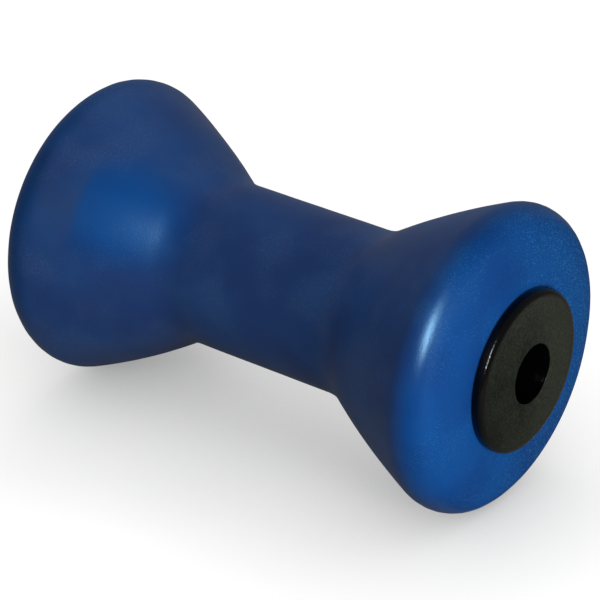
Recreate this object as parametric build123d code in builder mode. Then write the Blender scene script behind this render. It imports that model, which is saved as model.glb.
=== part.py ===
from build123d import *
import os
from math import sqrt

# Keel roller for a boat trailer: a waisted roller of solid moulded polyurethane that turns on
# two flanged nylon bushes, one pushed into each end of its bore.
# Millimetres. The origin is the middle of the roller, +Y runs along its axis and +Z is up.
# Every profile is drawn in a half plane: local x is the distance along the axis, local y the radius.

# Roller body
body_length = 150.0        # between the two flat seats for the flanges
rim_diameter = 87.0        # widest place, near each end
neck_diameter = 48.0       # waist that the keel sits on
neck_length = 46.0         # straight stretch of the waist
crease_radius = 16.0       # hollow curve from the waist up into each flank
flank_radius = 215.0       # slight belly of the flank
rim_rounding = 8.3         # rolled edge at the widest place
face_radius = 65.0         # slight crown of each end face
seat_margin = 0.6          # flat seat showing outside the flange

# Flanged bush
pin_bore = 17.0            # clears a 16 mm trailer pin
barrel_diameter = 26.0
barrel_length = 42.0       # from the back of the flange
flange_diameter = 46.0
flange_thickness = 2.8     # at its edge
flange_crown = 1.5         # rise of the rubbing face above the edge
rubbing_diameter = 24.0    # flat middle of the crowned face
flange_rounding = 1.2      # front edge of the flange
flange_back_break = 0.3
barrel_root_web = 0.8      # slanted corner between barrel and flange
barrel_lead_in = 1.5       # chamfer that starts the barrel into the body
bore_edge_break = 0.4

# Clearances
barrel_clearance = 0.08    # radial, so that the body turns on the barrel
flange_gap = 0.2           # between the flange and its seat
root_clearance = 0.5       # bore mouth chamfer beyond the web at the barrel's root


def meeting_point(first, first_reach, second, second_reach):
    """Point at the given distances from two centres, on the right of the way from first to second."""
    way = second - first
    along = (way.length**2 + first_reach**2 - second_reach**2) / (2 * way.length)
    aside = sqrt(first_reach**2 - along**2)
    ahead = way.normalized()
    return first + ahead * along + Vector(ahead.Y, -ahead.X) * aside


def toward(centre, target, distance):
    """Point at a distance from centre, on the line through target."""
    return centre + (target - centre).normalized() * distance


# Centres of the arcs that make one half of the body's outline, each tangent to the next
half_length = body_length / 2
seat_radius = flange_diameter / 2 + seat_margin
face_centre = Vector(half_length - face_radius, seat_radius)
rim_height = rim_diameter / 2 - rim_rounding
rim_reach = sqrt((face_radius - rim_rounding)**2 - (rim_height - seat_radius)**2)
rim_centre = Vector(face_centre.X + rim_reach, rim_height)
crease_centre = Vector(neck_length / 2, neck_diameter / 2 + crease_radius)
flank_centre = meeting_point(
    crease_centre, flank_radius + crease_radius, rim_centre, flank_radius - rim_rounding
)

# Places where one arc hands over to the next
neck_end = Vector(neck_length / 2, neck_diameter / 2)
flank_start = toward(crease_centre, flank_centre, crease_radius)
flank_end = toward(flank_centre, rim_centre, flank_radius)
face_start = toward(face_centre, rim_centre, face_radius)
seat_edge = Vector(half_length, seat_radius)

body_bore = barrel_diameter + 2 * barrel_clearance
mouth_chamfer = barrel_root_web + root_clearance

with BuildPart() as roller_body:
    with BuildSketch(Plane.YZ):
        with BuildLine():
            Line((0, neck_diameter / 2), neck_end)
            RadiusArc(neck_end, flank_start, -crease_radius)
            RadiusArc(flank_start, flank_end, flank_radius)
            RadiusArc(flank_end, face_start, rim_rounding)
            RadiusArc(face_start, seat_edge, face_radius)
            Polyline(seat_edge, (half_length, 0), (0, 0), (0, neck_diameter / 2))
        make_face()
    revolve(axis=Axis.Y)
    mirror(about=Plane.XZ)
    with BuildSketch(Plane.XZ):
        Circle(body_bore / 2)
    extrude(amount=half_length, both=True, mode=Mode.SUBTRACT)
    chamfer(roller_body.edges(Select.LAST).filter_by(GeomType.CIRCLE), mouth_chamfer)
roller_body.part.label = "roller_body"


def flanged_bush(outward):
    """Bush for the end of the roller that outward (+1 or -1 along the axis) points to."""
    back = half_length + flange_gap
    edge_front = back + flange_thickness
    front = edge_front + flange_crown
    inner_end = back - barrel_length
    crown_width = (flange_diameter - rubbing_diameter) / 2
    crown_radius = (crown_width**2 + flange_crown**2) / (2 * flange_crown)
    flange_front_corner = (edge_front, flange_diameter / 2)
    flange_back_corner = (back, flange_diameter / 2)
    barrel_root = (back, barrel_diameter / 2)
    barrel_tip = (inner_end, barrel_diameter / 2)
    inner_mouth = (inner_end, pin_bore / 2)
    outer_mouth = (front, pin_bore / 2)
    rubbing_edge = (front, rubbing_diameter / 2)
    bush_plane = Plane(origin=(0, 0, 0), x_dir=(0, outward, 0), z_dir=(outward, 0, 0))
    with BuildPart() as bush:
        with BuildSketch(bush_plane) as section:
            with BuildLine():
                Polyline(
                    flange_front_corner,
                    flange_back_corner,
                    barrel_root,
                    barrel_tip,
                    inner_mouth,
                    outer_mouth,
                    rubbing_edge,
                )
                RadiusArc(rubbing_edge, flange_front_corner, -crown_radius)
            make_face()
            fillet(section.vertices().sort_by_distance(flange_front_corner)[0], flange_rounding)
            for corner, length in (
                (flange_back_corner, flange_back_break),
                (barrel_root, barrel_root_web),
                (barrel_tip, barrel_lead_in),
                (inner_mouth, bore_edge_break),
                (outer_mouth, bore_edge_break),
            ):
                chamfer(section.vertices().sort_by_distance(corner)[0], length)
        revolve(axis=Axis.Y)
    return bush


right_bush = flanged_bush(-1)
right_bush.part.label = "right_bush"
left_bush = flanged_bush(1)
left_bush.part.label = "left_bush"

os.makedirs("parts", exist_ok=True)
for piece in (roller_body, right_bush, left_bush):
    export_step(piece.part, f"parts/{piece.part.label}.step")
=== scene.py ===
from math import cos, hypot, pi, radians, sin, sqrt

import bpy
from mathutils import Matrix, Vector


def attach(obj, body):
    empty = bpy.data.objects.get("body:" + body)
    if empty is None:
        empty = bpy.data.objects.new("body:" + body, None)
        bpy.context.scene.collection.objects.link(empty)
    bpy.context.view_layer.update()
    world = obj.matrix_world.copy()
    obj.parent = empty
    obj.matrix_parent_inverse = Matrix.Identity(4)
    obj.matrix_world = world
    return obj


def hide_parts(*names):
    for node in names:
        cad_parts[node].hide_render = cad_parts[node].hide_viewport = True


# Keel roller for a boat trailer: a blue moulded roller on two black flanged bushes.
# The roller's axis is Y, and the camera looks at its -Y end. Sizes are in millimetres.

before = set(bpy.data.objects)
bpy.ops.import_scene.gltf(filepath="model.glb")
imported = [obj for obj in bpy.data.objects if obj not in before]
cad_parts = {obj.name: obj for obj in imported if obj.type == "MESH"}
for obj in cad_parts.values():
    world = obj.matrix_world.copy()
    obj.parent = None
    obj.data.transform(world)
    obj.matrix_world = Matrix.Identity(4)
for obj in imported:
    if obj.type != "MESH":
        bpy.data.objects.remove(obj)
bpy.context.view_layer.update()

MM = 0.001

# Roller body
BODY_LENGTH = 150.0
RIM_DIAMETER = 87.0
NECK_DIAMETER = 48.0
NECK_LENGTH = 46.0
CREASE_RADIUS = 16.0
FLANK_RADIUS = 215.0
RIM_ROUNDING = 8.3
FACE_RADIUS = 65.0

# Flanged bush
PIN_BORE = 17.0
BARREL_DIAMETER = 26.0
BARREL_LENGTH = 42.0
FLANGE_DIAMETER = 46.0
FLANGE_THICKNESS = 2.8
FLANGE_CROWN = 1.5
RUBBING_DIAMETER = 24.0
FLANGE_ROUNDING = 1.2
BACK_EDGE_BREAK = 0.3
BARREL_ROOT_BREAK = 0.8
BARREL_LEAD_IN = 1.5
BORE_EDGE_BREAK = 0.4

# Clearances between the body and its bushes
SEAT_MARGIN = 0.6          # flat seat showing outside the flange
BARREL_CLEARANCE = 0.08    # radial
FLANGE_GAP = 0.2
ROOT_CLEARANCE = 0.5       # bore mouth beyond the break at the barrel's root

# Sizes that follow from those
HALF_LENGTH = BODY_LENGTH / 2
SEAT_RADIUS = FLANGE_DIAMETER / 2 + SEAT_MARGIN
BODY_BORE_RADIUS = BARREL_DIAMETER / 2 + BARREL_CLEARANCE
MOUTH_CHAMFER = BARREL_ROOT_BREAK + ROOT_CLEARANCE
FLANGE_BACK = HALF_LENGTH + FLANGE_GAP
FLANGE_EDGE_FRONT = FLANGE_BACK + FLANGE_THICKNESS

# Unevenness that moulding leaves in the roller's skin, fading out towards the flat seat
WAVE_WIDTH = 22.0
WAVE_HEIGHT = 0.25
WAVE_FADE = 8.0

# Mesh fineness
TURN_STEPS = 192
RING_SPACING = 1.5
LEAST_ARC_STEPS = 6
RUBBING_FACE_STEPS = 2
EDGE_BREAK_STEPS = 2
SMOOTH_ANGLE = radians(32)
MERGE_DISTANCE = 0.001
PICK_DISTANCE = 0.01       # a vertex this near to a ring belongs to it

# Camera
CAMERA_AZIMUTH = radians(-52.73)
CAMERA_ELEVATION = radians(28.55)
CAMERA_DISTANCE = 764.3
LOOK_RIGHT = 1.36          # how far the line of sight passes beside the roller's middle
LOOK_DOWN = 3.30
LENS = 163.25
SENSOR_WIDTH = 36.0


def direction(azimuth, elevation):
    """Way from the roller to a camera or a lamp."""
    return Vector((sin(azimuth) * cos(elevation), -cos(azimuth) * cos(elevation), sin(elevation)))


def aim(thing, place, back):
    """Puts a camera or a lamp at a place, facing against back and upright."""
    thing.location = place
    thing.rotation_euler = (-back).to_track_quat("-Z", "Y").to_euler()


def make_camera():
    back = direction(CAMERA_AZIMUTH, CAMERA_ELEVATION)
    right = Vector((cos(CAMERA_AZIMUTH), sin(CAMERA_AZIMUTH), 0))
    up = back.cross(right)
    place = (back * CAMERA_DISTANCE + right * LOOK_RIGHT - up * LOOK_DOWN) * MM
    bpy.ops.object.camera_add()
    camera = bpy.context.object
    camera.data.lens = LENS
    camera.data.sensor_width = SENSOR_WIDTH
    aim(camera, place, back)
    bpy.context.scene.camera = camera


# Outlines, drawn in the half plane x = 0 as (distance along the axis, radius)

def station(along, radius):
    return Vector((0, along, radius)) * MM


def toward(centre, target, distance):
    """Place at a distance from centre, on the line through target."""
    return centre + (target - centre).normalized() * distance


def meeting_point(first, first_reach, second, second_reach):
    """Place at the given distances from two centres, on the right of the way from first to second."""
    way = second - first
    along = (way.length**2 + first_reach**2 - second_reach**2) / (2 * way.length)
    aside = sqrt(first_reach**2 - along**2)
    ahead = way.normalized()
    return first + ahead * along + Vector((ahead.y, -ahead.x)) * aside


def deselect():
    bpy.ops.object.select_all(action="DESELECT")


class Outline:
    """A line drawn from place to place in edit mode, then spun once round the roller's axis."""

    def __init__(self, name, start):
        deselect()
        bpy.ops.mesh.primitive_plane_add(size=RING_SPACING * MM)
        self.piece = bpy.context.object
        self.piece.name = name
        self.pen = Vector(start)
        bpy.ops.object.mode_set(mode="EDIT")
        bpy.ops.mesh.merge(type="CENTER")
        bpy.ops.transform.translate(value=station(*self.pen))

    def line(self, end, steps=1):
        move = (Vector(end) - self.pen) / steps
        for _ in range(steps):
            bpy.ops.mesh.extrude_region_move(TRANSFORM_OT_translate={"value": station(*move)})
        self.pen = Vector(end)

    def arc(self, centre, end):
        spoke = Vector(end) - Vector(centre)
        turn = (self.pen - Vector(centre)).angle_signed(spoke)
        steps = max(LEAST_ARC_STEPS, round(abs(turn) * spoke.length / RING_SPACING))
        bpy.ops.mesh.spin(steps=steps, angle=turn, center=station(*centre), axis=(1, 0, 0))
        self.pen = Vector(end)

    def spin(self):
        bpy.ops.mesh.select_all(action="SELECT")
        bpy.ops.mesh.spin(steps=TURN_STEPS, angle=2 * pi, center=(0, 0, 0), axis=(0, 1, 0))
        bpy.ops.mesh.select_all(action="SELECT")
        bpy.ops.mesh.remove_doubles(threshold=MERGE_DISTANCE * MM)
        bpy.ops.mesh.normals_make_consistent(inside=False)
        bpy.ops.object.mode_set(mode="OBJECT")
        return self.piece


def bevel_ring(piece, along, radius, width):
    """Breaks the sharp edge that runs round the piece at that place."""
    here = Vector((along, radius)) * MM
    bpy.ops.object.mode_set(mode="EDIT")
    bpy.ops.mesh.select_mode(type="VERT")
    bpy.ops.mesh.select_all(action="DESELECT")
    bpy.ops.object.mode_set(mode="OBJECT")
    for vertex in piece.data.vertices:
        place = Vector((vertex.co.y, hypot(vertex.co.x, vertex.co.z)))
        vertex.select = (place - here).length < PICK_DISTANCE * MM
    bpy.ops.object.mode_set(mode="EDIT")
    bpy.ops.mesh.select_mode(type="EDGE")
    bpy.ops.mesh.bevel(offset=width * MM, segments=EDGE_BREAK_STEPS)
    bpy.ops.object.mode_set(mode="OBJECT")


def apply_modifier(piece, kind, **settings):
    modifier = piece.modifiers.new(kind.title(), kind)
    for name, value in settings.items():
        setattr(modifier, name, value)
    bpy.context.view_layer.objects.active = piece
    bpy.ops.object.modifier_apply(modifier=modifier.name)


def smooth(piece):
    deselect()
    piece.select_set(True)
    bpy.context.view_layer.objects.active = piece
    bpy.ops.object.shade_smooth_by_angle(angle=SMOOTH_ANGLE)


# Roller

def spin_roller():
    """The half of the roller on the +Y side is spun from its outline and mirrored to the other."""
    face_centre = Vector((HALF_LENGTH - FACE_RADIUS, SEAT_RADIUS))
    rim_height = RIM_DIAMETER / 2 - RIM_ROUNDING
    rim_reach = sqrt((FACE_RADIUS - RIM_ROUNDING) ** 2 - (rim_height - SEAT_RADIUS) ** 2)
    rim_centre = Vector((face_centre.x + rim_reach, rim_height))
    crease_centre = Vector((NECK_LENGTH / 2, NECK_DIAMETER / 2 + CREASE_RADIUS))
    flank_centre = meeting_point(
        crease_centre, FLANK_RADIUS + CREASE_RADIUS, rim_centre, FLANK_RADIUS - RIM_ROUNDING
    )
    outline = Outline("roller_moulding", (0, NECK_DIAMETER / 2))
    outline.line((NECK_LENGTH / 2, NECK_DIAMETER / 2), steps=round(NECK_LENGTH / 2 / RING_SPACING))
    outline.arc(crease_centre, toward(crease_centre, flank_centre, CREASE_RADIUS))
    outline.arc(flank_centre, toward(flank_centre, rim_centre, FLANK_RADIUS))
    outline.arc(rim_centre, toward(face_centre, rim_centre, FACE_RADIUS))
    outline.arc(face_centre, (HALF_LENGTH, SEAT_RADIUS))
    outline.line((HALF_LENGTH, BODY_BORE_RADIUS + MOUTH_CHAMFER))
    outline.line((HALF_LENGTH - MOUTH_CHAMFER, BODY_BORE_RADIUS))
    outline.line((0, BODY_BORE_RADIUS))
    roller = outline.spin()
    apply_modifier(
        roller, "MIRROR", use_axis=(False, True, False), merge_threshold=MERGE_DISTANCE * MM
    )
    return roller


def wave_skin(roller):
    """Gives the outside of the roller the slow unevenness of a moulded skin."""
    skin = roller.vertex_groups.new(name="moulded_skin")
    for vertex in roller.data.vertices:
        radius = hypot(vertex.co.x, vertex.co.z) / MM
        away = hypot(abs(vertex.co.y) / MM - HALF_LENGTH, radius - SEAT_RADIUS)
        if radius > SEAT_RADIUS and away > 0:
            skin.add([vertex.index], min(1, away / WAVE_FADE), "REPLACE")
    waves = bpy.data.textures.new("moulding_waves", "CLOUDS")
    waves.noise_scale = WAVE_WIDTH * MM
    apply_modifier(
        roller, "DISPLACE", texture=waves, texture_coords="LOCAL", strength=WAVE_HEIGHT * MM,
        mid_level=0.5, vertex_group=skin.name,
    )


def make_roller():
    roller = spin_roller()
    wave_skin(roller)
    smooth(roller)
    return roller


# Bushes

def spin_bush():
    """The bush of the +Y end is spun from its outline, and then its sharp edges are broken."""
    front = FLANGE_EDGE_FRONT + FLANGE_CROWN
    inner_end = FLANGE_BACK - BARREL_LENGTH
    flange_radius = FLANGE_DIAMETER / 2
    barrel_radius = BARREL_DIAMETER / 2
    bore_radius = PIN_BORE / 2
    rubbing_radius = RUBBING_DIAMETER / 2
    crown_radius = ((flange_radius - rubbing_radius) ** 2 + FLANGE_CROWN**2) / (2 * FLANGE_CROWN)
    crown_centre = Vector((front - crown_radius, rubbing_radius))
    edge_height = flange_radius - FLANGE_ROUNDING
    edge_reach = sqrt((crown_radius - FLANGE_ROUNDING) ** 2 - (edge_height - rubbing_radius) ** 2)
    edge_centre = Vector((crown_centre.x + edge_reach, edge_height))

    outline = Outline("left_flange_bush", (front, bore_radius))
    outline.line((front, rubbing_radius), steps=RUBBING_FACE_STEPS)
    outline.arc(crown_centre, toward(crown_centre, edge_centre, crown_radius))
    outline.arc(edge_centre, (edge_centre.x, flange_radius))
    for corner in (
        (FLANGE_BACK, flange_radius),
        (FLANGE_BACK, barrel_radius),
        (inner_end, barrel_radius),
        (inner_end, bore_radius),
        (front, bore_radius),
    ):
        outline.line(corner)
    bush = outline.spin()
    for along, radius, width in (
        (FLANGE_BACK, flange_radius, BACK_EDGE_BREAK),
        (FLANGE_BACK, barrel_radius, BARREL_ROOT_BREAK),
        (inner_end, barrel_radius, BARREL_LEAD_IN),
        (inner_end, bore_radius, BORE_EDGE_BREAK),
        (front, bore_radius, BORE_EDGE_BREAK),
    ):
        bevel_ring(bush, along, radius, width)
    smooth(bush)
    return bush


def make_bushes():
    """The bush of the +Y end, and a copy of it turned round for the other end."""
    left = spin_bush()
    bpy.ops.object.duplicate()
    right = bpy.context.object
    right.name = "right_flange_bush"
    bpy.ops.transform.rotate(value=pi, orient_axis="Z", center_override=(0, 0, 0))
    bpy.ops.object.transform_apply(location=True, rotation=True, scale=True)
    return left, right


# Materials

ALONG_AXIS = (0, 1, 0)
FROM_AXIS = (1, 0, 1)

# Regions of the roller's surface. Each is what lies near a centre, and fades out over the distances
# in edge. ways says how much x, y and z each count in a distance
# Paler blue specks are sparse near this side of the end faces and dense away from it
SPARSE_SPECK_SIDE = {"ways": FROM_AXIS, "edge": (35.0, 82.0), "centre": (-43, 0, 10)}
BETWEEN_SPECKLED_ENDS = {"ways": ALONG_AXIS, "edge": (60.0, 71.0)}
BETWEEN_RIMS = {"ways": ALONG_AXIS, "edge": (61.0, 69.5)}
BETWEEN_END_FACES = {"ways": ALONG_AXIS, "edge": (70.5, 73.0)}
# A pool of light painted on the far flank: brighter blue there, and no painted veil
PAINTED_LIGHT_PATCH = {"ways": (1, 0.8, 1.2), "edge": (3.0, 23.0), "centre": (-25, 42, 20)}
SHORT_OF_RIM = {"ways": ALONG_AXIS, "edge": (51.5, 54.0)}

# Regions of the bush's surface
# The rubbing face is painted paler away from this side: a painted sheen over random scuffs
SIDE_WITHOUT_PAINTED_SHEEN = {"ways": FROM_AXIS, "edge": (12.0, 44.0), "centre": (-23, 0, 0)}
BORE_WALL = {"ways": FROM_AXIS, "edge": (PIN_BORE / 2 + 0.01, PIN_BORE / 2 + 0.1)}
BEHIND_RUBBING_FACE = {
    "ways": ALONG_AXIS, "edge": (FLANGE_EDGE_FRONT + 0.25, FLANGE_EDGE_FRONT + 0.5)
}

# Noise in the roller's surface, by the width of its blotches
MOTTLE = {"width": 26.0}
PATCHES = {"width": 15.0, "low": 0.42, "high": 0.62}
# The specks are really about 0.1 mm, drawn coarser so that they show
SPECKS = {"width": 0.4, "low": 0.51, "high": 0.70}
# The skin's fine unevenness, like an orange's
PEEL_WIDTH = 0.5
PEEL_DETAIL = 3.0
PEEL_DEPTH = 0.05

# Noise in the bush's surface
SCUFFS = {"width": 9.0}
# Spark-eroded mould grain, really about 0.05 mm, drawn coarser so that it shows
GRAIN = {"width": 0.6, "low": 0.4, "high": 0.7}
GRAIN_DEPTH = 0.02


def linear(hex_colour):
    """Turns an sRGB hex colour into a linear colour with alpha."""
    levels = [int(hex_colour[place:place + 2], 16) / 255 for place in (1, 3, 5)]
    return [
        level / 12.92 if level <= 0.04045 else ((level + 0.055) / 1.055) ** 2.4 for level in levels
    ] + [1]


def add_node(material, kind, inputs=None, output=None, **settings):
    """Adds a node, and returns its output of that name or else the first in use. An input is
    another node's output, which is linked, or a value, which is set."""
    node = material.node_tree.nodes.new(kind)
    for name, value in settings.items():
        setattr(node, name, value)
    sockets = {socket.identifier: socket for socket in node.inputs}
    for name, value in (inputs or {}).items():
        if isinstance(value, bpy.types.NodeSocket):
            material.node_tree.links.new(value, sockets[name])
        else:
            sockets[name].default_value = value
    if output:
        return node.outputs[output]
    return next((socket for socket in node.outputs if socket.enabled), None)


def new_material(name):
    material = bpy.data.materials.new(name)
    material.use_nodes = True
    material.node_tree.nodes.clear()
    return material


def noise(material, place, width, low=0.35, high=0.65, least=0.0, most=1.0):
    """Blotches of about the given width in mm. Noise from low to high is spread from least to
    most."""
    raw = add_node(material, "ShaderNodeTexNoise", {"Vector": place, "Scale": 1 / (width * MM)})
    return add_node(
        material, "ShaderNodeMapRange",
        {"Value": raw, "From Min": low, "From Max": high, "To Min": least, "To Max": most},
        interpolation_type="SMOOTHSTEP",
    )


def by_region(material, place, ways, edge, inside, outside, centre=(0, 0, 0)):
    """Runs smoothly from inside to outside as the distance from centre passes from the first
    distance of edge to the second."""
    start, end = edge
    away = add_node(
        material, "ShaderNodeMapping",
        {
            "Vector": place,
            "Location": [-way * middle * MM for way, middle in zip(ways, centre)],
            "Scale": ways,
        },
    )
    distance = add_node(material, "ShaderNodeVectorMath", {"Vector": away}, operation="LENGTH")
    return add_node(
        material, "ShaderNodeMapRange",
        {
            "Value": distance,
            "From Min": start * MM,
            "From Max": end * MM,
            "To Min": inside,
            "To Max": outside,
        },
        interpolation_type="SMOOTHSTEP",
    )


def coated(material, base, *coats):
    """The base colour with coats over it, each given as its share and its colour."""
    colour = linear(base)
    for share, coat in coats:
        colour = add_node(
            material, "ShaderNodeMix",
            {"Factor_Float": share, "A_Color": colour, "B_Color": linear(coat)},
            data_type="RGBA",
        )
    return colour


def by_painted_light_patch(material, place, inside, outside):
    """Tells a patch on one flank, where a pool of light is painted on in brighter blue, from the rest
    of the roller. The patch stops short of the rim."""
    around = by_region(material, place, **PAINTED_LIGHT_PATCH, inside=inside, outside=outside)
    return by_region(material, place, **SHORT_OF_RIM, inside=around, outside=outside)


def by_bush_part(material, place, bore, flange_edge, rubbing_face):
    """Tells the bush's bore, the edge of its flange and its rubbing face apart."""
    past_bore = by_region(
        material, place, **BEHIND_RUBBING_FACE, inside=flange_edge, outside=rubbing_face
    )
    return by_region(material, place, **BORE_WALL, inside=bore, outside=past_bore)


def polyurethane():
    """Solid polyurethane, cast in a smooth mould. It gives a deep blue satin skin with fine pale
    specks, denser on the +X side of the end faces, and duller end faces. A pale veil painted between
    the rims stands for reflected light, and a patch on one flank, clear of the veil, is painted light
    in brighter blue."""
    material = new_material("cast_polyurethane_blue")
    place = add_node(material, "ShaderNodeTexCoord", output="Object")

    # Paler blue specks in patches, dense on the +X side of the end faces
    speck_patches = noise(material, place, **PATCHES, least=0.08, most=0.30)
    end_specks = by_region(material, place, **SPARSE_SPECK_SIDE, inside=speck_patches, outside=0.95)
    speck_share = by_region(material, place, **BETWEEN_SPECKLED_ENDS, inside=speck_patches, outside=end_specks)
    # Painted reflection: a pale veil over the blue between the rims, standing for light reflected on
    # the shaded flanks and neck
    clouds = noise(material, place, **PATCHES, least=0.045, most=0.065)
    painted_reflection_veil = by_region(material, place, **BETWEEN_RIMS, inside=clouds, outside=0.004)
    colour = coated(
        material, "#003A80",
        (noise(material, place, **MOTTLE), "#00478F"),
        (noise(material, place, **SPECKS, most=speck_share), "#3585BE"),
        # The patch on one flank is painted light: the veil is taken off there and brighter blue laid
        # on
        (by_painted_light_patch(material, place, inside=0.0, outside=painted_reflection_veil), "#BCAEA3"),
        (by_painted_light_patch(material, place, inside=0.6, outside=0.0), "#005CB8"),
    )

    # The end faces, cast against the lids of the mould, are duller than the flanks
    flank_roughness = noise(material, place, **MOTTLE, least=0.31, most=0.36)
    roughness = by_region(
        material, place, **BETWEEN_END_FACES, inside=flank_roughness, outside=0.7
    )
    peel = add_node(
        material, "ShaderNodeTexNoise",
        {"Vector": place, "Scale": 1 / (PEEL_WIDTH * MM), "Detail": PEEL_DETAIL},
    )
    relief = add_node(
        material, "ShaderNodeBump", {"Height": peel, "Strength": 1.0, "Distance": PEEL_DEPTH * MM}
    )
    shader = add_node(
        material, "ShaderNodeBsdfPrincipled",
        {
            "Base Color": colour,
            "Roughness": roughness,
            "Specular IOR Level": 0.4,
            "Specular Tint": linear("#A6E0FF"),
            "Normal": relief,
        },
    )
    add_node(material, "ShaderNodeOutputMaterial", {"Surface": shader})
    return material


def nylon():
    """Moulded black nylon. It gives a dull, scuffed rubbing face with a fine grain, a painted sheen
    that makes it paler on one side, and a smooth flange edge that takes a glint. The bore is as
    black as it was moulded."""
    material = new_material("moulded_nylon_black")
    place = add_node(material, "ShaderNodeTexCoord", output="Object")

    scuffs = noise(material, place, **SCUFFS, most=0.2)
    # Painted sheen: the rubbing face turns paler and more grainy towards the +X side, over random
    # scuffs
    scuffs_and_painted_sheen = by_region(material, place, **SIDE_WITHOUT_PAINTED_SHEEN, inside=scuffs, outside=1.0)
    grain_strength = add_node(
        material, "ShaderNodeMapRange", {"Value": scuffs_and_painted_sheen, "To Min": 0.14, "To Max": 0.35}
    )
    colour = coated(
        material, "#060C03",
        (scuffs_and_painted_sheen, "#292C24"),
        (noise(material, place, **GRAIN, most=grain_strength), "#4A4C42"),
        (by_bush_part(material, place, bore=1.0, flange_edge=1.0, rubbing_face=0.0), "#030303"),
    )

    roughness = by_bush_part(material, place, bore=0.1, flange_edge=0.14, rubbing_face=0.95)
    grain = noise(material, place, **GRAIN)
    relief = add_node(
        material, "ShaderNodeBump", {"Height": grain, "Strength": 1.0, "Distance": GRAIN_DEPTH * MM}
    )
    shader = add_node(
        material, "ShaderNodeBsdfPrincipled",
        {
            "Base Color": colour,
            "Roughness": roughness,
            "Specular IOR Level": 0.25,
            "Normal": relief,
        },
    )
    add_node(material, "ShaderNodeOutputMaterial", {"Surface": shader})
    return material


# Studio

MIRRORED_SHARE = 0.07      # how much of the white background glossy and transmission rays see
ROOM_LEVEL = 0.12          # strength of the room's own light
FLOOR_WIDTH = 4000.0
FLOOR_GLOW = 0.92          # where nothing shades the floor
SHADED_FLOOR_GLOW = 0.276  # where it is wholly shaded
SHADE_REACH = 70.0         # how near a thing has to be to shade it


def background_share(material):
    """How much of the white background a ray shows: all of it for camera rays, and a small part for
    glossy and transmission rays. The roller has no metal or glass, and the full white turned the
    edges of its dark blue and its black grey."""
    camera, glossy, transmission = (
        add_node(material, "ShaderNodeLightPath", output=ray)
        for ray in ("Is Camera Ray", "Is Glossy Ray", "Is Transmission Ray")
    )
    mirrored = add_node(
        material, "ShaderNodeMath", {"Value": glossy, "Value_001": transmission},
        operation="MAXIMUM",
    )
    return add_node(
        material, "ShaderNodeMath",
        {"Value": mirrored, "Value_001": MIRRORED_SHARE, "Value_002": camera},
        operation="MULTIPLY_ADD",
    )


def make_floor():
    """A pale board under the roller. For the rays that show it, it glows up to white where nothing
    shades it, and its shadows stay."""
    bpy.ops.mesh.primitive_plane_add(
        size=FLOOR_WIDTH * MM, location=(0, 0, -RIM_DIAMETER / 2 * MM)
    )
    floor = bpy.context.object
    floor.name = "studio_floor"
    material = new_material("white_card")
    card = add_node(material, "ShaderNodeBsdfDiffuse", {"Color": linear("#8C8C8A")})
    openness = add_node(
        material, "ShaderNodeAmbientOcclusion", {"Distance": SHADE_REACH * MM}, output="AO"
    )
    shaded_glow = add_node(
        material, "ShaderNodeMapRange",
        {"Value": openness, "To Min": SHADED_FLOOR_GLOW, "To Max": FLOOR_GLOW},
    )
    strength = add_node(
        material, "ShaderNodeMath",
        {"Value": background_share(material), "Value_001": shaded_glow}, operation="MULTIPLY",
    )
    glow = add_node(material, "ShaderNodeEmission", {"Strength": strength})
    both = add_node(material, "ShaderNodeAddShader", {"Shader": card, "Shader_001": glow})
    add_node(material, "ShaderNodeOutputMaterial", {"Surface": both})
    floor.data.materials.append(material)


def make_world():
    world = bpy.data.worlds.new("studio_room")
    world.use_nodes = True
    world.node_tree.nodes.clear()
    bpy.context.scene.world = world
    strength = add_node(
        world, "ShaderNodeMapRange",
        {"Value": background_share(world), "To Min": ROOM_LEVEL, "To Max": 1.0},
    )
    room = add_node(
        world, "ShaderNodeBackground", {"Color": linear("#FFFFFF"), "Strength": strength}
    )
    add_node(world, "ShaderNodeOutputWorld", {"Surface": room})


def softbox(name, azimuth, elevation, distance, size, level):
    """A rectangular lamp aimed at the roller's middle. level is the share of its colour that a
    surface there shows when it faces the lamp."""
    back = direction(radians(azimuth), radians(elevation))
    bpy.ops.object.light_add(type="AREA")
    lamp = bpy.context.object
    lamp.name = name
    lamp.data.shape = "RECTANGLE"
    lamp.data.size, lamp.data.size_y = (side * MM for side in size)
    lamp.data.energy = level * (pi * distance * MM) ** 2
    lamp.visible_camera = False
    aim(lamp, back * distance * MM, back)
    return lamp


def make_lamps():
    """Four lamps give plain light without highlights. A fifth, small and close, gives only the
    highlights on the rim, the flange and the far flank."""
    for lamp in (
        softbox("end_light", azimuth=-20, elevation=6, distance=300, size=(80, 80), level=0.46),
        softbox("front_light", azimuth=-35, elevation=32, distance=1000, size=(300, 300), level=0.15),
        softbox("side_light", azimuth=-85, elevation=32, distance=1000, size=(300, 300), level=0.11),
        softbox("back_light", azimuth=115, elevation=50, distance=1000, size=(600, 400), level=0.27),
    ):
        lamp.visible_glossy = False
    glint = softbox(
        "glint_light", azimuth=-48, elevation=28.5, distance=245, size=(28, 85), level=0.95
    )
    glint.visible_diffuse = False


make_camera()
roller_moulding = make_roller()
left_flange_bush, right_flange_bush = make_bushes()
roller_polyurethane = polyurethane()
bush_nylon = nylon()
for piece, body, node, slot, material in (
    (roller_moulding, "roller", "roller_body", "polyurethane", roller_polyurethane),
    (left_flange_bush, "bushes", "left_bush", "nylon", bush_nylon),
    (right_flange_bush, "bushes", "right_bush", "nylon", bush_nylon),
):
    piece.data.materials.append(material)
    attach(piece, body)
    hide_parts(node)

make_floor()
make_world()
make_lamps()
bpy.context.scene.view_settings.view_transform = "Standard"
